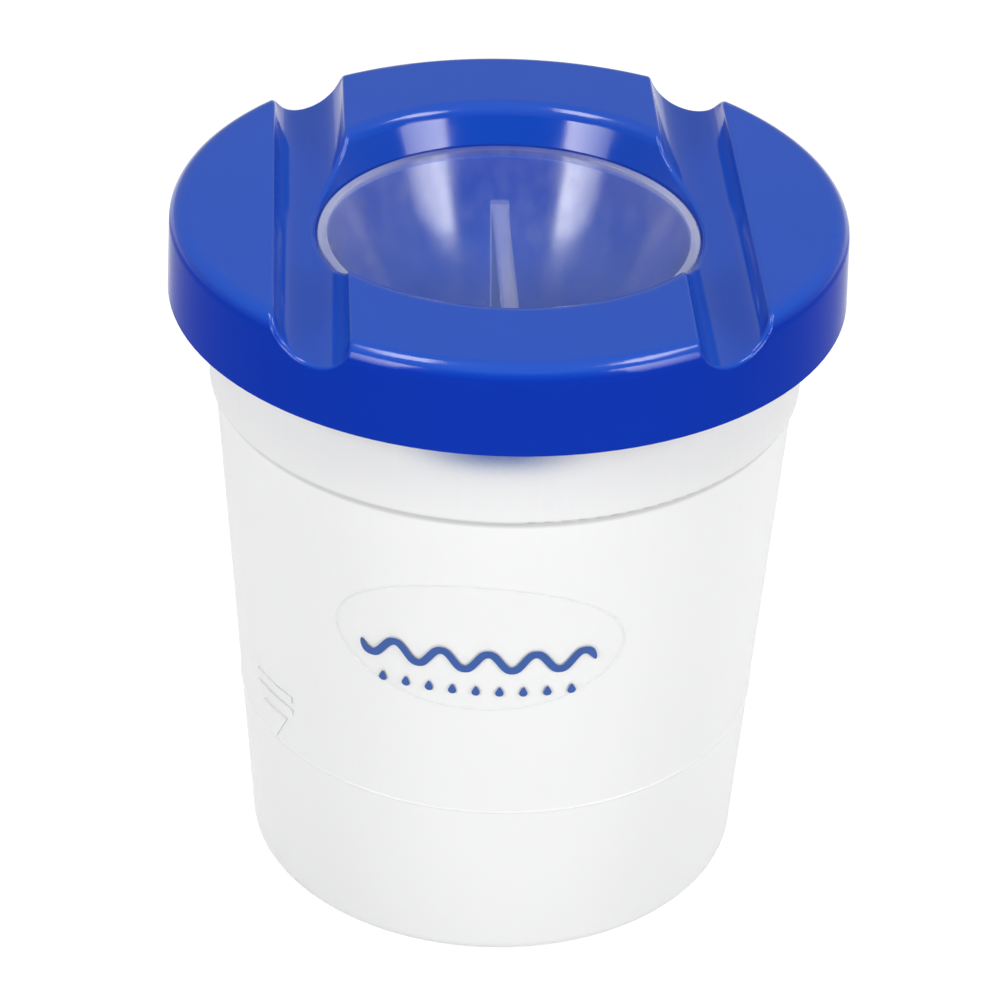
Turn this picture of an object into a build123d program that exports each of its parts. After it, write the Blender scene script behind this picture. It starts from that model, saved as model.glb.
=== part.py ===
"""Brush washer with lid: a tapered water cup, a snap-over lid with two brush troughs and a non-spill
funnel, and a conical stopper that closes the funnel.

Millimetres, +Z up. The origin is the centre of the cup's underside. The brush troughs run along Y.
"""
import os
from math import cos, radians, tan

from build123d import *

# ---- Fits ----------------------------------------------------------------------------------------
running_gap = 0.3           # between faces that pass each other as a piece is lifted off
seat_gap = 0.2              # under a face that rests on another piece

# ---- Moulded edges -------------------------------------------------------------------------------
edge_rounding = 0.3
lead_in_rounding = 0.5      # edges that guide one piece into another

# ---- Tub: cup in natural polypropylene -----------------------------------------------------------
tub_wall = 1.3
tub_floor = 1.8
foot_radius = 34.2          # outside of the body cone at the underside
body_height = 72.8          # underside to the step where the upper band starts
body_taper = 3.75           # angle of the body cone from upright, degrees
band_step = 0.7             # how far the band stands out over the body
step_rounding = 0.6         # the band's lower edge
band_height = 19.0          # step to rim
band_taper = 1.2            # degrees
rim_flange_width = 2.85
rim_flange_height = 2.0
foot_edge_rounding = 1.6
foot_ring_width = 3.2
foot_recess = 1.2
floor_rounding = 3.0        # inside corner between floor and wall
fill_height = 25.0          # height of the fill ring
fill_ring_height = 0.5
fill_ring_relief = 0.12

# Fill pointer: a raised triangle with two bars, above the fill ring on the left flank
pointer_azimuth = 59.0      # degrees from the front (-Y) towards -X
pointer_width = 6.0
pointer_height = 4.6
pointer_relief = 0.25
pointer_bar_width = 9.0
pointer_bar_height = 0.9
pointer_bar_pitch = 2.0

# ---- Lid: glossy shell ---------------------------------------------------------------------------
lid_wall = 1.6
lid_height = 12.0
lid_overlap = 5.5           # how far the skirt reaches down over the tub's rim
skirt_taper = 2.0           # degrees
top_edge_rounding = 2.4
mouth_flare = 2.7           # how far the mouth widens from the stopper's pocket to the top
mouth_edge_rounding = 2.6
funnel_depth = 35.5         # stopper's ledge to the outlet
snap_bead_relief = 0.45
snap_bead_height = 1.2
plug_ring_wall = 1.2
plug_ring_depth = 3.0       # how far the plug ring reaches down into the rim
seat_rib_wall = 1.2

# Brush troughs
trough_offset = 0.6         # trough's centreline outside the stopper's pocket
trough_sill = 0.55          # trough's bottom above the stopper's rim
trough_radius = 4.7
trough_edge_rounding = 0.6

# ---- Stopper: translucent cone with a grip rib ---------------------------------------------------
stopper_radius = 25.3       # outside of its rim
stopper_wall = 1.2
stopper_rim_height = 1.4
stopper_rim_drop = 4.75     # stopper's rim below the lid's top
stopper_depth = 24.0        # rim to the inside of its floor
cone_angle = 24.0           # stopper and funnel walls from upright, degrees
rim_width = 1.3             # flat top of the stopper's rim
grip_rib_wall = 2.4
grip_rib_drop = 7.0         # rib's top edge below the stopper's rim
grip_rib_rounding = 0.8
stopper_base_rounding = 1.0

# ---- Label: clear film on the front --------------------------------------------------------------
label_width = 38.0          # straight across
label_height = 20.0
label_film = 0.12
label_glue = 0.1
label_azimuth = 7.5         # degrees from the front (-Y) towards -X
label_centre_height = 52.5

# ---- Sizes that follow ---------------------------------------------------------------------------
step_z = body_height
rim_z = body_height + band_height
skirt_z = rim_z - lid_overlap
lid_top_z = skirt_z + lid_height
lid_under_z = lid_top_z - lid_wall

body_top_radius = foot_radius + body_height * tan(radians(body_taper))
band_radius = body_top_radius + band_step
band_top_radius = band_radius + band_height * tan(radians(band_taper))
flange_radius = band_top_radius + rim_flange_width

stopper_rim_z = lid_top_z - stopper_rim_drop
ledge_z = stopper_rim_z - stopper_rim_height - seat_gap
pocket_radius = stopper_radius + running_gap
mouth_radius = pocket_radius + mouth_flare
trough_x = pocket_radius + trough_offset        # centreline of each trough, either side of the middle
trough_z = stopper_rim_z + trough_sill          # bottom of each trough
outlet_z = ledge_z - funnel_depth
cone_slope = tan(radians(cone_angle))
cone_skin = 1 / cos(radians(cone_angle))        # horizontal width of a cone wall 1 mm thick


def body_radius(z):
    """Outside radius of the tub's body cone at height z."""
    return foot_radius + z * tan(radians(body_taper))


def skirt_radius(z):
    """Outside radius of the lid's skirt at height z, clear of the rim flange by the running gap."""
    at_rim = flange_radius + running_gap + lid_wall / cos(radians(skirt_taper))
    return at_rim + (rim_z - z) * tan(radians(skirt_taper))


def stopper_inside_radius(z):
    """Inside radius of the stopper's cone at height z."""
    return stopper_radius - rim_width - (stopper_rim_z - z) * cone_slope


def funnel_radius(z):
    """Inside radius of the lid's funnel at height z, clear of the stopper's wall."""
    return stopper_inside_radius(z) + (stopper_wall + running_gap) * cone_skin


def turned(corners):
    """Solid turned about Z from a closed outline of corners (radius, height, rounding)."""
    points = [(radius, 0, height) for radius, height, _ in corners]
    rounding = [corner[2] for corner in corners]
    return revolve(make_face(FilletPolyline(*points, radius=rounding, close=True)), Axis.Z)


def fill_pointer():
    """Raised triangle pointing down at the fill ring, with two bars over it."""
    tip_z = fill_height + fill_ring_height
    top_z = tip_z + pointer_height
    half_width = pointer_width / 2
    marks = make_face(Polyline((0, tip_z), (half_width, top_z), (-half_width, top_z), close=True))
    for bar in (1, 2):
        marks += Pos(0, top_z + bar * pointer_bar_pitch) * Rectangle(pointer_bar_width, pointer_bar_height)
    outward = Plane(origin=(0, 0, 0), x_dir=(1, 0, 0), z_dir=(0, -1, 0))
    stamp = extrude(outward * marks, foot_radius + body_height)
    skin = turned([
        (body_radius(0) - tub_wall / 2, 0, 0),
        (body_radius(0) + pointer_relief, 0, 0),
        (body_radius(body_height) + pointer_relief, body_height, 0),
        (body_radius(body_height) - tub_wall / 2, body_height, 0),
    ])
    return Rot(0, 0, -pointer_azimuth) * (stamp & skin)


def tub():
    """Tapered cup: foot ring, body cone with its fill ring, upper band and rim flange."""
    foot_inside = foot_radius - foot_ring_width
    band_inside = band_radius - tub_wall
    rim_inside = band_top_radius - tub_wall
    inner_floor_z = foot_recess + tub_floor
    inner_step_z = step_z + tub_wall / 2
    ring_low = fill_height - fill_ring_height / 2
    ring_high = fill_height + fill_ring_height / 2
    cup = turned([
        (0, foot_recess, 0),
        (foot_inside, foot_recess, edge_rounding),
        (foot_inside, 0, edge_rounding),
        (foot_radius, 0, foot_edge_rounding),
        (body_radius(ring_low), ring_low, 0),
        (body_radius(fill_height) + fill_ring_relief, fill_height, 0),
        (body_radius(ring_high), ring_high, 0),
        (body_top_radius, step_z, 0),
        (band_radius, step_z, step_rounding),
        (band_top_radius, rim_z - rim_flange_height, edge_rounding),
        (flange_radius, rim_z - rim_flange_height, edge_rounding),
        (flange_radius, rim_z, lead_in_rounding),
        (rim_inside, rim_z, edge_rounding),
        (band_inside, inner_step_z, 0),
        (body_radius(inner_step_z) - tub_wall, inner_step_z, 0),
        (body_radius(inner_floor_z) - tub_wall, inner_floor_z, floor_rounding),
        (0, inner_floor_z, 0),
    ])
    return cup + fill_pointer()


def lid_form():
    """Lid as turned outside and bore: skirt, top, mouth, stopper's pocket and funnel, solid between."""
    return turned([
        (funnel_radius(outlet_z), outlet_z, edge_rounding),
        (skirt_radius(outlet_z), outlet_z, 0),
        (skirt_radius(lid_top_z), lid_top_z, top_edge_rounding),
        (mouth_radius, lid_top_z, mouth_edge_rounding),
        (pocket_radius, stopper_rim_z, edge_rounding),
        (pocket_radius, ledge_z, 0),
        (funnel_radius(ledge_z), ledge_z, edge_rounding / 2),
    ])


def lid_hollow():
    """Space under the lid: all round the funnel, inside the skirt, with the rings under the top left in."""
    plug_outside = band_top_radius - tub_wall - running_gap
    plug_z = rim_z - plug_ring_depth
    seat_outside = flange_radius - rim_flange_width / 2 + seat_rib_wall / 2
    seat_z = rim_z + seat_gap
    skirt_skin = lid_wall / cos(radians(skirt_taper))
    bead_z = rim_z - rim_flange_height - snap_bead_height
    bead_low = bead_z - snap_bead_height / 2
    bead_high = bead_z + snap_bead_height / 2
    funnel_skin = lid_wall * cone_skin
    pocket_outside = pocket_radius + lid_wall
    under_ledge_z = ledge_z - lid_wall
    below_z = outlet_z - lid_wall
    mouth_inside_rounding = max(mouth_edge_rounding - lid_wall, edge_rounding)
    beyond = skirt_radius(outlet_z) + lid_wall
    return turned([
        (funnel_radius(below_z) + funnel_skin, below_z, 0),
        (funnel_radius(under_ledge_z) + funnel_skin, under_ledge_z, 0),
        (pocket_outside, under_ledge_z, 0),
        (pocket_outside, stopper_rim_z - lid_wall / 2, 0),
        (mouth_radius + lid_wall / 2, lid_under_z, mouth_inside_rounding),
        (plug_outside - plug_ring_wall, lid_under_z, 0),
        (plug_outside - plug_ring_wall, plug_z, edge_rounding),
        (plug_outside, plug_z, lead_in_rounding),
        (plug_outside, lid_under_z, 0),
        (seat_outside - seat_rib_wall, lid_under_z, 0),
        (seat_outside - seat_rib_wall, seat_z, 0),
        (seat_outside, seat_z, 0),
        (seat_outside, lid_under_z, 0),
        (skirt_radius(lid_under_z) - skirt_skin, lid_under_z, 0),
        (skirt_radius(bead_high) - skirt_skin, bead_high, 0),
        (skirt_radius(bead_z) - skirt_skin - snap_bead_relief, bead_z, edge_rounding),
        (skirt_radius(bead_low) - skirt_skin, bead_low, 0),
        (skirt_radius(skirt_z) - skirt_skin, skirt_z, edge_rounding),
        (beyond, skirt_z, 0),
        (beyond, below_z, 0),
    ])


def trough_rod(x, radius):
    """Round rod along one trough, long enough to pass through the whole lid."""
    return Pos(x, 0, trough_z + trough_radius) * Rot(90, 0, 0) * Cylinder(radius, 3 * flange_radius)


def trough_edges(body):
    """Every edge round the troughs of the lid, each one once."""
    channels = [
        face for face in body.faces().filter_by(GeomType.CYLINDER)
        if abs(face.axis_of_rotation.direction.Y) > 0.99
        and face.center().Z > trough_z - lid_wall / 2
    ]
    edges = {}
    for channel in channels:
        for edge in channel.edges():
            middle = edge.center()
            edges[round(middle.X, 3), round(middle.Y, 3), round(middle.Z, 3)] = edge
    return list(edges.values())


def lid():
    """Lid hollowed to its wall, with two brush troughs open to the front, the back and the mouth."""
    sides = (-trough_x, trough_x)
    hollow = lid_hollow()
    for x in sides:
        hollow -= trough_rod(x, trough_radius + lid_wall)
    body = lid_form() - hollow
    for x in sides:
        body -= trough_rod(x, trough_radius)
    return fillet(trough_edges(body), trough_edge_rounding)


def stopper():
    """Nested cone with a flat rim, a closed floor and a grip rib across its inside."""
    floor_z = stopper_rim_z - stopper_depth
    under_z = floor_z - stopper_wall
    under_rim_z = stopper_rim_z - stopper_rim_height
    skin = stopper_wall * cone_skin
    cone = turned([
        (0, under_z, 0),
        (stopper_inside_radius(under_z) + skin, under_z, stopper_base_rounding),
        (stopper_inside_radius(under_rim_z) + skin, under_rim_z, 0),
        (stopper_radius, under_rim_z, edge_rounding),
        (stopper_radius, stopper_rim_z, edge_rounding),
        (stopper_radius - rim_width, stopper_rim_z, edge_rounding),
        (stopper_inside_radius(floor_z), floor_z, stopper_base_rounding),
        (0, floor_z, 0),
    ])
    filling = turned([
        (0, under_z + stopper_wall / 2, 0),
        (stopper_inside_radius(floor_z) + skin / 2, under_z + stopper_wall / 2, 0),
        (stopper_inside_radius(stopper_rim_z) + skin / 2, stopper_rim_z, 0),
        (0, stopper_rim_z, 0),
    ])
    rib_top_z = stopper_rim_z - grip_rib_drop
    rib_height = rib_top_z - under_z
    rib = Pos(0, 0, under_z + rib_height / 2) * Box(grip_rib_wall, 2 * stopper_radius, rib_height)
    long_top_edges = rib.edges().filter_by(Axis.Y).group_by(Axis.Z)[-1]
    rib = fillet(long_top_edges, grip_rib_rounding)
    return cone + (rib & filling)


def label():
    """Thin oval film that follows the body cone."""
    oval = Ellipse(label_width / 2, label_height / 2)
    outward = Plane(origin=(0, 0, label_centre_height), x_dir=(1, 0, 0), z_dir=(0, -1, 0))
    stamp = extrude(outward * oval, foot_radius + body_height)
    film = turned([
        (body_radius(0) + label_glue, 0, 0),
        (body_radius(0) + label_glue + label_film, 0, 0),
        (body_radius(body_height) + label_glue + label_film, body_height, 0),
        (body_radius(body_height) + label_glue, body_height, 0),
    ])
    return Rot(0, 0, -label_azimuth) * (stamp & film)


os.makedirs("parts", exist_ok=True)
for name, solid in (("tub", tub()), ("lid", lid()), ("stopper", stopper()), ("label", label())):
    export_step(solid, f"parts/{name}.step")
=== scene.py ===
"""Looks of the brush washer with lid: materials, label print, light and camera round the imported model.

Metres, in the model's own frame: +Z up, origin under the tub, brush troughs along Y, label on -Y.
A pair of values is a range, or the span over which one look gives way to the next.
"""
from functools import reduce
from math import cos, pi, radians, sin

import bmesh
import bpy
from mathutils import Matrix, Vector


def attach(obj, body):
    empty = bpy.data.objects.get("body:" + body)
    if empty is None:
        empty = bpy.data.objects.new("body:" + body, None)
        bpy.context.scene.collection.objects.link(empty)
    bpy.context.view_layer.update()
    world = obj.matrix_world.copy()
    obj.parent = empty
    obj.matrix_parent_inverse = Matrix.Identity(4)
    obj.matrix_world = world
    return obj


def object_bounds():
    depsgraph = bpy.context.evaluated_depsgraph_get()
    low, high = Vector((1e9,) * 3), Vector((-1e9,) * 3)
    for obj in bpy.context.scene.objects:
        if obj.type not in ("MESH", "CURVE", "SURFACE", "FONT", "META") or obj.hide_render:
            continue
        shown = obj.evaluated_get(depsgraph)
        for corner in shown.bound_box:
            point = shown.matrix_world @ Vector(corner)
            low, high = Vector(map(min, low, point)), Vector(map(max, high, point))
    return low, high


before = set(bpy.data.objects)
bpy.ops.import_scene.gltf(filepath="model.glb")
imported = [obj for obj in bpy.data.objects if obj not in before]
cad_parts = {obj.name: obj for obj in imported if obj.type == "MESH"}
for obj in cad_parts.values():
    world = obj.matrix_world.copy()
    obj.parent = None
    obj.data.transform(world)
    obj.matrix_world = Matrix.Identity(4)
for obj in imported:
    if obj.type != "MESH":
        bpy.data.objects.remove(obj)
cad_low, cad_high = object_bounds()

# ---- Camera, as the photograph was taken ---------------------------------------------------------
CAMERA_PLACE = Vector((-0.0285, -0.4393, 0.3276))
CAMERA_HEADING = -3.7                   # degrees from +Y, positive to the left
CAMERA_PITCH = 32.07                    # degrees below the horizon
CAMERA_ROLL = 1.8                       # degrees
CAMERA_LENS = 135.76                    # millimetres
SENSOR_WIDTH = 36.0                     # millimetres
CAMERA_NEAR = 0.01
CAMERA_FAR = 20.0

# ---- Light ---------------------------------------------------------------------------------------
SOFTBOX_LEFT = -54.0                    # degrees from the camera, positive to the right
SOFTBOX_RIGHT = 46.0
SOFTBOX_ELEVATION = 24.0
SOFTBOX_DISTANCE = 1.0                  # from the middle of the lid's top
SOFTBOX_WIDTH = 0.42
SOFTBOX_HEIGHT = 0.66
SOFTBOX_POWER_LEFT = 9.5                # watts
SOFTBOX_POWER_RIGHT = 8.2
OUTER_SHARE_LEFT = 0.20                 # brightness at the far edge, against the edge nearer the camera
OUTER_SHARE_RIGHT = 0.40
STRIP_LEFT = (-110.0, 74.0)             # azimuth and elevation of the two strips overhead, in degrees
STRIP_RIGHT = (85.0, 65.0)
STRIP_DISTANCE = 1.1
STRIP_WIDTH = 0.2
STRIP_LENGTH = 0.45
STRIP_POWER = 2.3
SKY_BEHIND = 0.43                       # strength of the room's light behind the object
SKY_BEFORE = 0.08                       # behind the camera
SKY_ABOVE = 0.52                        # ceiling
SKYLINE = 0.58                          # pale walls, low all round
SKY_TURNS = (-0.5, 0.6)                 # Y of the direction, from behind the camera to behind the object
SKYLINE_ENDS = (0.05, 0.25)             # Z of the direction
CEILING_STARTS = (0.70, 0.85)

# ---- Floor ---------------------------------------------------------------------------------------
FLOOR_HALF = 6.0
FLOOR_BOUNCE = 0.7                      # share of light that the paper throws back at the object
FLOOR_GLOW = 0.84                       # even part of the white that the camera sees
FLOOR_SHADE = 0.26                      # part of it that takes shadow

# ---- Moulded plastic -----------------------------------------------------------------------------
PLASTIC_IOR = 1.49
NOISE_SPAN = (0.3, 0.7)                 # most of what a noise gives; its scale counts lumps in one metre

# ---- Blue lid ------------------------------------------------------------------------------------
BLUE_DEEP = (0.004, 0.032, 0.380)       # skirt
BLUE_PAINTED_TOP_LIGHT = (0.005, 0.070, 0.490)       # painted light: the paler blue of faces turned up, for light from above
BLUE_PAINTED_FUNNEL_LIGHT = (0.008, 0.095, 0.620)        # painted light on the low funnel wall, for light coming in through the tub
PAINTED_TOP_LIGHT_MOUTH = 0.45                      # share of the painted paler blue on upright walls in the mouth
PAINTED_TOP_LIGHT_SPAN = (0.1, 0.9)                 # upward part of a face's direction, from upright to level
SKIRT_RADII = (0.0420, 0.0430)
SKIRT_SPAN = (0.35, 0.7)                # upward part of a face's direction, from skirt to top
PAINTED_FUNNEL_LIGHT_HEIGHTS = (0.080, 0.090)
PAINTED_FUNNEL_LIGHT_RADII = (0.029, 0.031)
GLOSS_LEVEL = 0.62
SKIRT_GLOSS_LEVEL = 0.013               # duller
LID_GLOSS_TINT = (1.0, 0.95, 0.85)
LID_ROUGHNESS = (0.10, 0.17)
RUB = {"scale": 160, "detail": 4.0, "rough": 0.65}
FLOW = {"scale": 45, "detail": 2.0, "stretch": (1, 0.35, 1)}
FLOW_SHADE = 0.07                       # how much the flow marks darken and lighten the blue
FLOW_DEPTH = 0.00025
FLOW_STRENGTH = 0.15
SKIN = {"scale": 2600, "detail": 2.0}
SKIN_DEPTH = 0.000012
SKIN_STRENGTH = 0.25

# ---- Milky tub -----------------------------------------------------------------------------------
NATURAL = (0.855, 0.857, 0.86)
TUB_ROUGHNESS = (0.20, 0.26)
TUB_GLOSS_LEVEL = 0.4
TUB_SHEEN = 0.35                        # weight and roughness
TOOL_LINES = {"scale": 1500, "detail": 2.0, "stretch": (1, 1, 0.012)}
TOOL_LINES_LOW_DOWN = 0.25              # strength on the body, against the band
TOOL_LINE_HEIGHTS = (0.060, 0.074)
CLOUD = {"scale": 38}
CLOUD_SHARE = 0.6
VEIL_TONE = 0.975                       # tone where lines and clouds are darkest
VEIL_SPAN = (0.2, 1.2)
# painted shade: the wall darker towards its foot
FOOT_PAINTED_SHADE = 0.985
FOOT_PAINTED_SHADE_HEIGHTS = (0.0, 0.018)
# painted shadow of the lid: the band darker above the step
BAND_PAINTED_SHADOW = 0.945
BAND_PAINTED_SHADOW_HEIGHTS = (0.0728, 0.0729)
# painted shade: the wall darker close under the lid
UNDER_LID_PAINTED_SHADE = 0.965
UNDER_LID_PAINTED_SHADE_HEIGHTS = (0.0742, 0.0785)
# painted shadow: a dark line under the band's step, on the outside only
STEP_PAINTED_SHADOW_TONE = 0.70
STEP_PAINTED_SHADOW_HEIGHT = 0.07265
STEP_PAINTED_SHADOW_HALVES = (0.00034, 0.00085)   # half widths of the painted shadow line's dark core and of the whole line
OUTSIDE_RADII = (0.0374, 0.0376)        # outside of the wall at the step, where the painted shadow line stops

# ---- Painted blue shade under the lid's front edge, in the funnel's blue, while the lid is down ---
PAINTED_BLUE_SHADE = (0.09, 0.17, 0.42)     # painted shade under the lid, in the blue of the funnel blurred by the tub's wall
PAINTED_BLUE_SHADE_FROM = (0.0770, 0.0822)    # heights
PAINTED_BLUE_SHADE_UP_TO = (0.0833, 0.0845)
PAINTED_BLUE_SHADE_POWER = 1.3                # how slowly it sets in upwards
PAINTED_BLUE_SHADE_AT = -0.0030               # across
PAINTED_BLUE_SHADE_ASIDE = (0.001, 0.0135)    # to either side of that
PAINTED_BLUE_SHADE_FRONT = (-0.030, -0.025)   # Y
ROUND_WALL = 0.015                      # how far the wall looks round for the lid
ROUND_WALL_SAMPLES = 16
OPEN_AIR = (0.80, 0.93)                 # share of open air round the wall, with the lid down and up

# ---- Clear stopper -------------------------------------------------------------------------------
STOPPER_RIM = 0.09355
STOPPER_FLOOR = 0.06955
RIB_TOP = 0.08655
CLEAR = (0.84, 0.86, 0.98)
CLEAR_TINT = (0.97, 0.98, 1.0)
CLEAR_IOR = 1.44
CLEAR_GLOSS_TINT = (1.0, 0.97, 0.78)
CLEAR_ROUGHNESS = (0.14, 0.24)
HAZE_THIN = 0.021
HAZE_SMUDGED = 0.065
HAZE_FLANK = 0.03
HAZE_LOW = 0.042
HAZE_RIM = 0.26
HAZE_RIB = 0.15
HAZE_CLOUD = {"scale": 95, "rough": 0.6}
SMUDGE = {"scale": 420, "detail": 5.0, "stretch": (1, 1, 0.5), "rough": 0.7}
SMUDGE_DEPTH = 0.00002
SMUDGE_STRENGTH = 0.3
WEAR_SPAN = (0.18, 0.42)                # of cloud times smudge
FLANK_SPAN = (0.010, 0.022)             # distance from the rib's plane
RIM_MIDDLE = 0.15                       # rim's haze over the rib's plane, against the flanks
RIM_RADII = (0.0237, 0.0241)
RIM_HEIGHTS = (STOPPER_RIM - 0.0016, STOPPER_RIM - 0.0012)
RIB_SIDES = (0.0012, 0.0014)
RIB_FOOT_HEIGHTS = (STOPPER_FLOOR, STOPPER_FLOOR + 0.002)
RIB_TOP_HEIGHTS = (RIB_TOP, RIB_TOP + 0.0002)
LOW_HAZE_HEIGHTS = (STOPPER_FLOOR + 0.004, STOPPER_RIM - 0.006)

# ---- Label, on the front of the tub --------------------------------------------------------------
LABEL_AZIMUTH = 7.5                     # degrees from the front towards -X
LABEL_HALF_WIDTH = 0.019
LABEL_HALF_HEIGHT = 0.010
LABEL_CENTRE_HEIGHT = 0.0525
LABEL_EDGE = 0.975                      # where the cut edge's line starts, as a share of the oval
LABEL_FACE_RADIUS = 0.03442             # outside of the film at the tub's underside, along the body's cone
LABEL_FACE_SLOPE = 0.06554
FILM_COLOUR = (0.95, 0.95, 0.95)
FILM_EDGE_COLOUR = (0.75, 0.76, 0.78)
FILM_ALPHAS = (0.03, 0.16)              # face and cut edge
FILM_IOR = 1.4
FILM_ROUGHNESS = (0.08, 0.2)
FILM_WEAR = {"scale": 300}

# ---- Print on the label: a wave over a row of drops ----------------------------------------------
PRINT_BLUE = (0.016, 0.08, 0.33)
INK_UNEVENNESS = 0.15
INK_WEAR = {"scale": 700}
INK_ROUGHNESS = (0.3, 0.45)
PRINT_LIFT = 0.00002
PRINT_WELD = 1e-7                       # points nearer than this are one
WAVE_HALF_LENGTH = 0.0155
WAVE_CENTRE_HEIGHT = 0.0505
WAVE_SWING = 0.0013
WAVE_LENGTH = 0.0062
WAVE_HALF_STROKE = 0.00055
WAVE_STEPS = 400
DROP_COUNT = 9
DROP_PITCH = 0.0031
DROP_RADIUS = 0.00055
DROP_CENTRE_HEIGHT = 0.0455
DROP_TIP = 0.9                          # how far the tip is drawn up, against the radius
DROP_PINCH = 0.35                       # how far the sides draw in towards it
DROP_STEPS = 32


# ---- Node helpers --------------------------------------------------------------------------------
class Tree:
    """Builds one node tree: add a node, or link a socket, in one call each."""

    def __init__(self, owner):
        owner.use_nodes = True
        self.tree = owner.node_tree
        self.tree.nodes.clear()

    def add(self, kind, inputs=None, **settings):
        """A new node; inputs maps socket names or numbers to values or to other nodes' outputs."""
        node = self.tree.nodes.new(kind)
        for key, value in settings.items():
            setattr(node, key, value)
        for key, value in (inputs or {}).items():
            if isinstance(value, bpy.types.NodeSocket):
                self.tree.links.new(value, node.inputs[key])
            else:
                node.inputs[key].default_value = value
        return node

    def place(self, stretch=(1, 1, 1)):
        """Position on the object, in metres, stretched along each axis."""
        coordinates = self.add("ShaderNodeTexCoord")
        mapping = self.add("ShaderNodeMapping", {"Vector": coordinates.outputs["Object"], "Scale": stretch})
        return mapping.outputs["Vector"]

    def split(self, vector):
        """The X, Y and Z of a vector."""
        return self.add("ShaderNodeSeparateXYZ", {"Vector": vector}).outputs

    def noise(self, scale, detail=3.0, stretch=(1, 1, 1), rough=0.5):
        """Noise from 0 to 1 over the object."""
        inputs = {"Vector": self.place(stretch), "Scale": scale, "Detail": detail, "Roughness": rough}
        return self.add("ShaderNodeTexNoise", inputs).outputs["Fac"]

    def between(self, value, low, high, start=0.0, end=1.0, kind="LINEAR"):
        """Value mapped from start..end to low..high and held there."""
        inputs = {"Value": value, "From Min": start, "From Max": end, "To Min": low, "To Max": high}
        return self.add("ShaderNodeMapRange", inputs, interpolation_type=kind).outputs["Result"]

    def rises(self, value, start=0.0, end=1.0):
        """Mask that is 0 up to start and 1 from end."""
        return self.between(value, 0.0, 1.0, start, end)

    def falls(self, value, start=0.0, end=1.0, kind="LINEAR"):
        """Mask that is 1 up to start and 0 from end."""
        return self.between(value, 1.0, 0.0, start, end, kind)

    def math(self, operation, *values):
        """One arithmetic step."""
        return self.add("ShaderNodeMath", dict(enumerate(values)), operation=operation).outputs[0]

    def product(self, *values):
        """All values multiplied."""
        return reduce(lambda first, second: self.math("MULTIPLY", first, second), values)

    def total(self, *values):
        """All values added."""
        return reduce(lambda first, second: self.math("ADD", first, second), values)

    def off(self, value, centre):
        """How far value lies from centre, either way."""
        return self.math("ABSOLUTE", self.math("SUBTRACT", value, centre))

    def distance(self, first, second):
        """Distance of a point in a plane from its origin."""
        return self.math("SQRT", self.total(*(self.math("POWER", side, 2.0) for side in (first, second))))

    def mix_value(self, share, first, second):
        """Blend of two numbers."""
        return self.add("ShaderNodeMix", {"Factor": share, 2: first, 3: second}).outputs[0]

    def mix_colour(self, share, first, second, blend="MIX"):
        """Blend of two colours."""
        inputs = {"Factor": share, 6: first, 7: second}
        return self.add("ShaderNodeMix", inputs, data_type="RGBA", blend_type=blend).outputs[2]

    def mix_shader(self, share, first, second):
        """Blend of two shaders, as nodes."""
        return self.add("ShaderNodeMixShader", {0: share, 1: first.outputs[0], 2: second.outputs[0]})

    def bump(self, height, distance, strength, normal=None):
        """Relief, distance metres deep."""
        inputs = {"Height": height, "Distance": distance, "Strength": strength}
        if normal:
            inputs["Normal"] = normal
        return self.add("ShaderNodeBump", inputs).outputs["Normal"]

    def finish(self, shader, output="ShaderNodeOutputMaterial"):
        """Links the last shader to the output."""
        self.add(output, {"Surface": shader.outputs[0]})


def material(name):
    """An empty material and its tree."""
    made = bpy.data.materials.new(name)
    return made, Tree(made)


def rgba(colour, level=1.0):
    """Colour with full alpha, made lighter or darker by level."""
    return (*(part * level for part in colour), 1.0)


def grey(level):
    """Neutral colour."""
    return (level, level, level, 1.0)


# ---- Materials -----------------------------------------------------------------------------------
def blue_plastic():
    """Glossy opaque polypropylene: slow flow marks, a fine skin and slightly uneven gloss.

    The skirt is duller than the top. Faces turned up and upright walls in the mouth carry a painted
    paler blue for light from above, and the low funnel a painted brighter blue for light through the tub.
    """
    made, tree = material("lid_blue_polypropylene")
    flow = tree.noise(**FLOW)
    skin = tree.noise(**SKIN)
    rub = tree.noise(**RUB)
    spot = tree.split(tree.place())
    around = tree.distance(spot["X"], spot["Y"])
    upward = tree.split(tree.add("ShaderNodeTexCoord").outputs["Normal"])["Z"]
    skirt = tree.product(tree.rises(around, *SKIRT_RADII), tree.falls(upward, *SKIRT_SPAN))
    # painted light: faces turned up, and upright walls in the mouth, get a paler blue for light from above
    painted_top_light = tree.product(tree.between(upward, PAINTED_TOP_LIGHT_MOUTH, 1.0, *PAINTED_TOP_LIGHT_SPAN), tree.falls(skirt))
    # painted light: a brighter blue on the low funnel wall, for light coming in through the tub
    lit = tree.product(tree.falls(spot["Z"], *PAINTED_FUNNEL_LIGHT_HEIGHTS), tree.falls(around, *PAINTED_FUNNEL_LIGHT_RADII))
    colour = tree.mix_colour(painted_top_light, rgba(BLUE_DEEP), rgba(BLUE_PAINTED_TOP_LIGHT))
    colour = tree.mix_colour(lit, colour, rgba(BLUE_PAINTED_FUNNEL_LIGHT))
    shade = tree.mix_colour(flow, grey(1 - FLOW_SHADE), grey(1 + FLOW_SHADE))
    relief = tree.bump(skin, SKIN_DEPTH, SKIN_STRENGTH)
    tree.finish(tree.add("ShaderNodeBsdfPrincipled", {
        "Base Color": tree.mix_colour(1.0, colour, shade, "MULTIPLY"),
        "Roughness": tree.between(rub, *LID_ROUGHNESS, *NOISE_SPAN),
        "IOR": PLASTIC_IOR,
        "Specular IOR Level": tree.between(skirt, GLOSS_LEVEL, SKIRT_GLOSS_LEVEL),
        "Specular Tint": rgba(LID_GLOSS_TINT),
        "Normal": tree.bump(flow, FLOW_DEPTH, FLOW_STRENGTH, relief),
    }))
    return made


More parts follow.
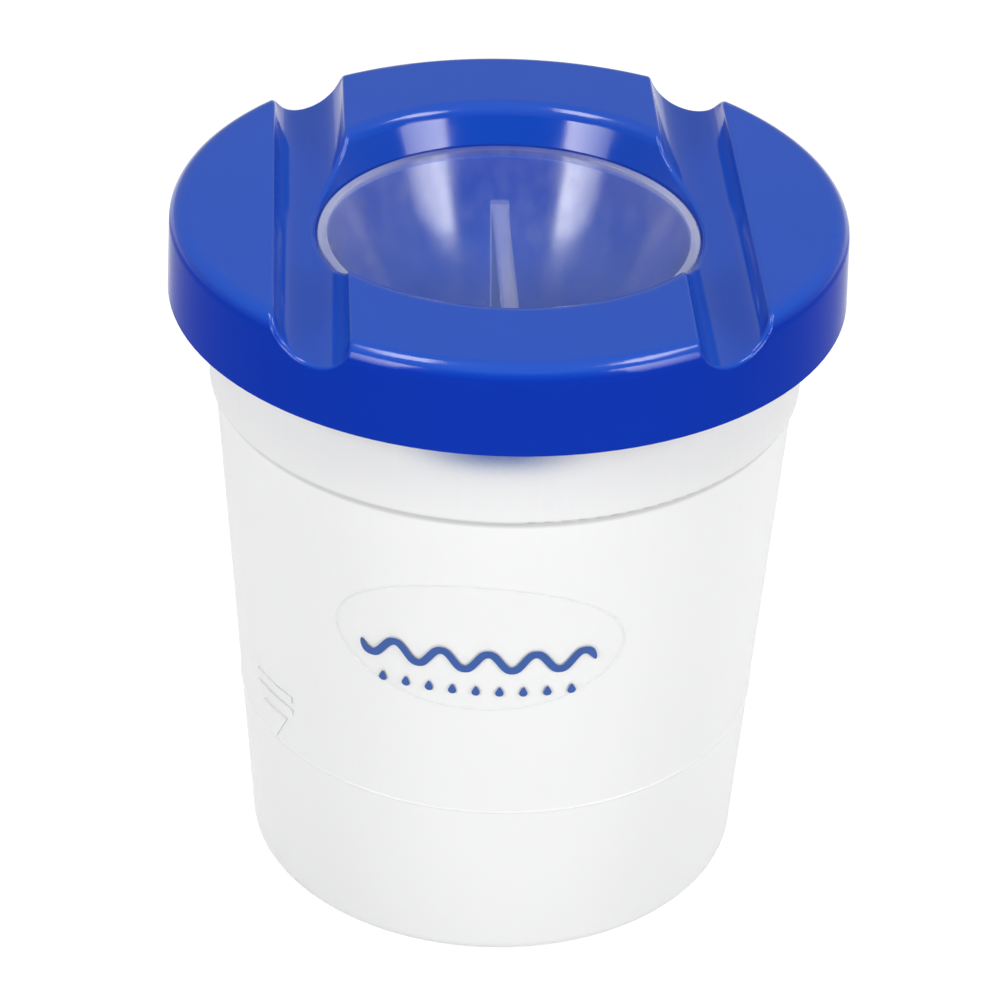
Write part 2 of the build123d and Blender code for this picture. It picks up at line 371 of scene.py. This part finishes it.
def milk_tone_and_painted_shade(tree, spot, cloud):
    """Tone of the tub's wall: faint lines and clouds; painted shade at the foot, band and step."""
    height = spot["Z"]
    lines = tree.noise(**TOOL_LINES)
    near_band = tree.between(height, TOOL_LINES_LOW_DOWN, 1.0, *TOOL_LINE_HEIGHTS)
    veil = tree.total(tree.product(lines, near_band), tree.product(cloud, CLOUD_SHARE))
    inside = tree.falls(tree.distance(spot["X"], spot["Y"]), *OUTSIDE_RADII)
    off_step_shadow = tree.total(tree.off(height, STEP_PAINTED_SHADOW_HEIGHT), inside)
    # painted shade at the foot, on the band and under the lid, and a painted shadow line under the step
    return tree.product(
        tree.between(veil, VEIL_TONE, 1.0, *VEIL_SPAN),
        tree.between(height, FOOT_PAINTED_SHADE, 1.0, *FOOT_PAINTED_SHADE_HEIGHTS),
        tree.between(height, 1.0, BAND_PAINTED_SHADOW, *BAND_PAINTED_SHADOW_HEIGHTS),
        tree.between(height, 1.0, UNDER_LID_PAINTED_SHADE, *UNDER_LID_PAINTED_SHADE_HEIGHTS),
        tree.between(off_step_shadow, STEP_PAINTED_SHADOW_TONE, 1.0, *STEP_PAINTED_SHADOW_HALVES),
    )


def painted_blue_shade_mask(tree, spot):
    """Mask of the painted blue shade under the lid's front edge, which goes when the lid is lifted off it.
    """
    height = spot["Z"]
    near_lid = tree.product(tree.rises(height, *PAINTED_BLUE_SHADE_FROM), tree.falls(height, *PAINTED_BLUE_SHADE_UP_TO))
    aside = tree.falls(tree.off(spot["X"], PAINTED_BLUE_SHADE_AT), *PAINTED_BLUE_SHADE_ASIDE, kind="SMOOTHSTEP")
    round_wall = {"Distance": ROUND_WALL}
    open_air = tree.add("ShaderNodeAmbientOcclusion", round_wall, samples=ROUND_WALL_SAMPLES).outputs["AO"]
    return tree.product(
        tree.math("POWER", near_lid, PAINTED_BLUE_SHADE_POWER),
        aside,
        tree.falls(spot["Y"], *PAINTED_BLUE_SHADE_FRONT),
        tree.falls(open_air, *OPEN_AIR),
    )


def natural_plastic():
    """Milky polypropylene with fine upright tool lines, and painted shade on the band and at the foot.

    While the lid is down, a painted blue shade lies on the wall right under its front edge, in the funnel's
    blue.
    """
    made, tree = material("tub_natural_polypropylene")
    cloud = tree.noise(**CLOUD)
    spot = tree.split(tree.place())
    milk = tree.mix_colour(milk_tone_and_painted_shade(tree, spot, cloud), grey(0.0), rgba(NATURAL))
    tree.finish(tree.add("ShaderNodeBsdfPrincipled", {
        # painted blue shade under the lid's front edge
        "Base Color": tree.mix_colour(painted_blue_shade_mask(tree, spot), milk, rgba(PAINTED_BLUE_SHADE)),
        "Roughness": tree.between(cloud, *TUB_ROUGHNESS, *NOISE_SPAN),
        "IOR": PLASTIC_IOR,
        "Specular IOR Level": TUB_GLOSS_LEVEL,
        "Sheen Weight": TUB_SHEEN,
        "Sheen Roughness": TUB_SHEEN,
    }))
    return made


def stopper_haze(tree, wear):
    """Share of the stopper's wall that scatters: thin, with more in the rim, rib, flanks and low down."""
    spot = tree.split(tree.place())
    height = spot["Z"]
    aside = tree.math("ABSOLUTE", spot["X"])
    rim = tree.product(
        tree.rises(tree.distance(spot["X"], spot["Y"]), *RIM_RADII),
        tree.rises(height, *RIM_HEIGHTS),
        tree.between(aside, RIM_MIDDLE, 1.0, *FLANK_SPAN),
    )
    rib = tree.product(
        tree.falls(aside, *RIB_SIDES),
        tree.rises(height, *RIB_FOOT_HEIGHTS),
        tree.falls(height, *RIB_TOP_HEIGHTS),
    )
    return tree.total(
        tree.between(wear, HAZE_THIN, HAZE_SMUDGED),
        tree.product(rim, HAZE_RIM),
        tree.product(rib, HAZE_RIB),
        tree.between(aside, 0.0, HAZE_FLANK, *FLANK_SPAN),
        tree.between(height, HAZE_LOW, 0.0, *LOW_HAZE_HEIGHTS),
    )


def clear_plastic():
    """Clear polypropylene with a light haze, smudged by handling.

    Gloss lies only on faces seen from outside the wall. Shadow and diffuse rays pass straight
    through, so that the funnel behind the stopper stays lit.
    """
    made, tree = material("stopper_clear_polypropylene")
    cloud = tree.noise(**HAZE_CLOUD)
    smudge = tree.noise(**SMUDGE)
    wear = tree.rises(tree.product(cloud, smudge), *WEAR_SPAN)
    normal = tree.bump(smudge, SMUDGE_DEPTH, SMUDGE_STRENGTH)
    body = tree.add("ShaderNodeBsdfDiffuse", {"Color": rgba(CLEAR), "Normal": normal})
    through = tree.add("ShaderNodeBsdfTransparent", {"Color": rgba(CLEAR_TINT)})
    milk = tree.mix_shader(stopper_haze(tree, wear), through, body)
    gloss = tree.add("ShaderNodeBsdfGlossy", {
        "Color": rgba(CLEAR_GLOSS_TINT),
        "Roughness": tree.between(wear, *CLEAR_ROUGHNESS),
        "Normal": normal,
    })
    inside = tree.add("ShaderNodeNewGeometry").outputs["Backfacing"]
    sheen = tree.add("ShaderNodeFresnel", {"IOR": CLEAR_IOR, "Normal": normal}).outputs[0]
    sheen = tree.product(sheen, tree.math("SUBTRACT", 1.0, inside))
    rays = tree.add("ShaderNodeLightPath").outputs
    light = tree.math("MAXIMUM", rays["Is Shadow Ray"], rays["Is Diffuse Ray"])
    open_to_light = tree.add("ShaderNodeBsdfTransparent")
    tree.finish(tree.mix_shader(light, tree.mix_shader(sheen, milk, gloss), open_to_light))
    return made


def ink():
    """Printed ink: blue, slightly uneven."""
    made, tree = material("label_ink")
    uneven = tree.noise(**INK_WEAR)
    dark, light = rgba(PRINT_BLUE, 1 - INK_UNEVENNESS), rgba(PRINT_BLUE, 1 + INK_UNEVENNESS)
    tree.finish(tree.add("ShaderNodeBsdfPrincipled", {
        "Base Color": tree.mix_colour(uneven, dark, light),
        "Roughness": tree.between(uneven, *INK_ROUGHNESS),
    }))
    return made


def label_film():
    """Clear film: nearly nothing shows but its gloss and the line of its cut edge."""
    made, tree = material("label_clear_film")
    turn = {"Vector": tree.place(), "Axis": (0, 0, 1), "Angle": radians(LABEL_AZIMUTH)}
    spot = tree.split(tree.add("ShaderNodeVectorRotate", turn).outputs[0])
    across = tree.math("DIVIDE", spot["X"], LABEL_HALF_WIDTH)
    upward = tree.math("DIVIDE", tree.math("SUBTRACT", spot["Z"], LABEL_CENTRE_HEIGHT), LABEL_HALF_HEIGHT)
    edge = tree.rises(tree.distance(across, upward), LABEL_EDGE, 1.0)
    tree.finish(tree.add("ShaderNodeBsdfPrincipled", {
        "Base Color": tree.mix_colour(edge, rgba(FILM_COLOUR), rgba(FILM_EDGE_COLOUR)),
        "Roughness": tree.between(tree.noise(**FILM_WEAR), *FILM_ROUGHNESS),
        "IOR": FILM_IOR,
        "Alpha": tree.between(edge, *FILM_ALPHAS),
    }))
    return made


def dress(node, made):
    """Gives a CAD node its material."""
    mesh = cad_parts[node].data
    mesh.materials.clear()
    mesh.materials.append(made)


# ---- Stage ---------------------------------------------------------------------------------------
def link(name, data):
    """A new object in the scene."""
    made = bpy.data.objects.new(name, data)
    bpy.context.scene.collection.objects.link(made)
    return made


def make_camera():
    """Camera at the photograph's place, with its heading, pitch and roll."""
    data = bpy.data.cameras.new("camera")
    data.sensor_width = SENSOR_WIDTH
    data.lens = CAMERA_LENS
    data.clip_start, data.clip_end = CAMERA_NEAR, CAMERA_FAR
    camera = link("camera", data)
    heading = Matrix.Rotation(radians(CAMERA_HEADING), 4, "Z")
    pitch = Matrix.Rotation(radians(90 - CAMERA_PITCH), 4, "X")
    roll = Matrix.Rotation(radians(CAMERA_ROLL), 4, "Z")
    camera.matrix_world = Matrix.Translation(CAMERA_PLACE) @ heading @ pitch @ roll
    bpy.context.scene.camera = camera


def lamp(name, width, height, power, azimuth, elevation, distance):
    """Rectangular lamp on a sphere round the lid; azimuth is from the camera, positive to the right."""
    data = bpy.data.lights.new(name, "AREA")
    data.shape = "RECTANGLE"
    data.size, data.size_y, data.energy = width, height, power
    made = link(name, data)
    across, up = radians(azimuth - CAMERA_HEADING), radians(elevation)
    away = Vector((sin(across) * cos(up), -cos(across) * cos(up), sin(up)))
    made.location = Vector((0, 0, cad_high.z)) + away * distance
    made.rotation_mode = "QUATERNION"
    made.rotation_quaternion = (-away).to_track_quat("-Z", "Y")
    return data


def softbox(name, azimuth, power, outer_share):
    """Tall lamp beside the camera, brightest at its edge nearer the camera."""
    data = lamp(name, SOFTBOX_WIDTH, SOFTBOX_HEIGHT, power, azimuth, SOFTBOX_ELEVATION, SOFTBOX_DISTANCE)
    tree = Tree(data)
    across = tree.split(tree.add("ShaderNodeNewGeometry").outputs["Parametric"])["X"]
    start, end = (1.0, outer_share) if azimuth > 0 else (outer_share, 1.0)
    glow = tree.add("ShaderNodeEmission", {"Strength": tree.between(across, start, end)})
    tree.finish(glow, "ShaderNodeOutputLight")


def make_room():
    """Soft light from all round: pale low down and overhead, dimmer between, darkest behind the camera."""
    world = bpy.data.worlds.new("world")
    bpy.context.scene.world = world
    tree = Tree(world)
    way = tree.split(tree.add("ShaderNodeTexCoord").outputs["Generated"])
    sky = tree.between(way["Y"], SKY_BEFORE, SKY_BEHIND, *SKY_TURNS)
    sky = tree.mix_value(tree.rises(way["Z"], *CEILING_STARTS), sky, SKY_ABOVE)
    strength = tree.mix_value(tree.falls(way["Z"], *SKYLINE_ENDS), sky, SKYLINE)
    tree.finish(tree.add("ShaderNodeBackground", {"Strength": strength}), "ShaderNodeOutputWorld")


def make_light():
    """Two softboxes, two strips overhead and the room."""
    softbox("softbox_left", SOFTBOX_LEFT, SOFTBOX_POWER_LEFT, OUTER_SHARE_LEFT)
    softbox("softbox_right", SOFTBOX_RIGHT, SOFTBOX_POWER_RIGHT, OUTER_SHARE_RIGHT)
    for name, (azimuth, elevation) in (("strip_left", STRIP_LEFT), ("strip_right", STRIP_RIGHT)):
        lamp(name, STRIP_LENGTH, STRIP_WIDTH, STRIP_POWER, azimuth, elevation, STRIP_DISTANCE)
    make_room()


def make_floor():
    """White paper: it looks white, takes a soft shadow and throws part of the light back."""
    mesh = bpy.data.meshes.new("floor")
    corners = [(x * FLOOR_HALF, y * FLOOR_HALF, 0) for x, y in ((-1, -1), (1, -1), (1, 1), (-1, 1))]
    mesh.from_pydata(corners, [], [(0, 1, 2, 3)])
    floor = link("floor", mesh)
    made, tree = material("floor_paper")
    rays = tree.add("ShaderNodeLightPath").outputs
    mirrored = tree.math("MAXIMUM", rays["Is Glossy Ray"], rays["Is Transmission Ray"])
    seen = tree.math("MAXIMUM", rays["Is Camera Ray"], mirrored)
    bounce = tree.add("ShaderNodeBsdfDiffuse", {"Color": grey(FLOOR_BOUNCE)})
    shade = tree.add("ShaderNodeBsdfDiffuse", {"Color": grey(FLOOR_SHADE)})
    glow = tree.add("ShaderNodeEmission", {"Strength": FLOOR_GLOW})
    white = tree.add("ShaderNodeAddShader", {0: shade.outputs[0], 1: glow.outputs[0]})
    tree.finish(tree.mix_shader(seen, bounce, white))
    mesh.materials.append(made)


# ---- Label print ---------------------------------------------------------------------------------
def on_label(across, height):
    """Point just off the label's face; across is straight across from its centreline."""
    radius = LABEL_FACE_RADIUS + height * LABEL_FACE_SLOPE + PRINT_LIFT
    point = Vector((across, -((radius * radius - across * across) ** 0.5), height))
    return Matrix.Rotation(radians(-LABEL_AZIMUTH), 3, "Z") @ point


def wave_outline():
    """Centre height and half width of the wave's stroke along its length; the stroke ends round."""
    rows = []
    for step in range(WAVE_STEPS + 1):
        across = WAVE_HALF_LENGTH * -cos(pi * step / WAVE_STEPS)
        phase = 2 * pi * across / WAVE_LENGTH
        slope = WAVE_SWING * 2 * pi / WAVE_LENGTH * cos(phase)
        stroke = WAVE_HALF_STROKE * (1 + slope * slope) ** 0.5
        past = max(0.0, abs(across) - WAVE_HALF_LENGTH + WAVE_HALF_STROKE) / WAVE_HALF_STROKE
        stroke *= max(0.0, 1 - past * past) ** 0.5
        rows.append((across, WAVE_CENTRE_HEIGHT + WAVE_SWING * sin(phase), stroke))
    return rows


def drop_outline(middle):
    """Points round one drop, from its foot: round below and drawn up to a tip above."""
    points = []
    for step in range(DROP_STEPS):
        turn = 2 * pi * step / DROP_STEPS
        side, height = DROP_RADIUS * sin(turn), -DROP_RADIUS * cos(turn)
        if cos(turn) < 0:
            height -= DROP_RADIUS * DROP_TIP * cos(turn) ** 3
            side *= 1 - DROP_PINCH * cos(turn) ** 2
        points.append((middle + side, DROP_CENTRE_HEIGHT + height))
    return points


def print_wave(form):
    """Lays the wave's stroke on the film, as two rows of faces."""
    lines = []
    for across, centre, half in wave_outline():
        heights = (centre - half, centre, centre + half)
        lines.append([form.verts.new(on_label(across, height)) for height in heights])
    for left, right in zip(lines, lines[1:]):
        for low in (0, 1):
            form.faces.new((left[low], right[low], right[low + 1], left[low + 1]))


def print_drops(form):
    """Lays the row of drops on the film, each a fan of faces round its middle."""
    for number in range(DROP_COUNT):
        across = (number - (DROP_COUNT - 1) / 2) * DROP_PITCH
        middle = form.verts.new(on_label(across, DROP_CENTRE_HEIGHT))
        ring = [form.verts.new(on_label(*point)) for point in drop_outline(across)]
        for first, second in zip(ring, ring[1:] + ring[:1]):
            form.faces.new((middle, first, second))


def make_print():
    """The wave and its row of drops, lying on the film."""
    form = bmesh.new()
    print_wave(form)
    print_drops(form)
    bmesh.ops.remove_doubles(form, verts=form.verts, dist=PRINT_WELD)
    mesh = bpy.data.meshes.new("label_print")
    form.to_mesh(mesh)
    form.free()
    mesh.materials.append(ink())
    piece = link("label_print", mesh)
    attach(piece, "tub")


make_camera()
make_light()
make_floor()
dress("lid", blue_plastic())
dress("tub", natural_plastic())
dress("stopper", clear_plastic())
dress("label", label_film())
make_print()
bpy.context.scene.view_settings.view_transform = "Standard"
